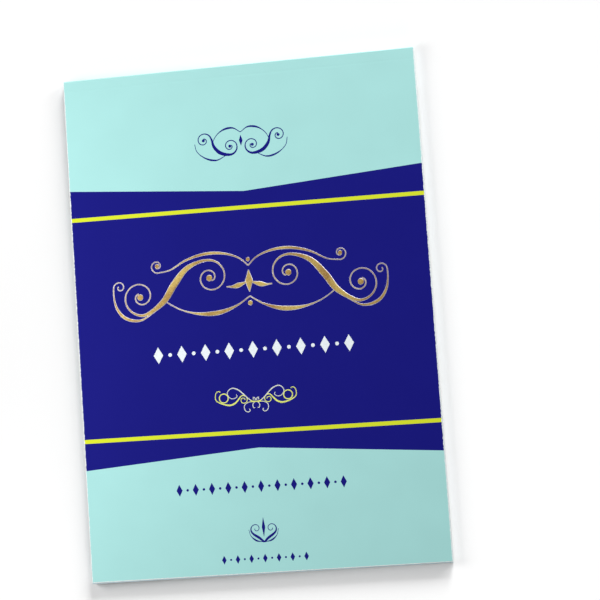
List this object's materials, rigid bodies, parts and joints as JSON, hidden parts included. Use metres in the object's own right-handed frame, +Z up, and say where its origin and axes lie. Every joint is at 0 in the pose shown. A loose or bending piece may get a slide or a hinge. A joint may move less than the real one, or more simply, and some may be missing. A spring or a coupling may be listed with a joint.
{
  "type": "writing pad",
  "caption": "Flat A4 writing pad of ruled sheets on a grey board, glued at the head, with a printed soft card cover that opens at a crease below the head.",
  "frame": {"origin": "under the middle of the pad, on the surface it lies on", "axes": "+X across the pad, +Y to the glued head, +Z up through the cover"},
  "size_m": [0.21, 0.2976, 0.0054],
  "materials": {
    "cover_card": "coated card, satin",
    "pages": "uncoated writing paper, matte",
    "board": "grey board, matte",
    "glue": "dried padding glue, dull"
  },
  "bodies": {
    "pad": {"page_block": "pages", "back_board": "board", "head_glue": "glue", "cover_wrap": "cover_card"},
    "cover": {"front_cover": "cover_card"}
  },
  "joints": [
    {"name": "cover_hinge", "type": "hinge", "parent": "pad", "child": "cover", "pos_m": [0, 0.1422, 0.00542], "axis": [-1, 0, 0], "range_deg": [0, 180]}
  ]
}
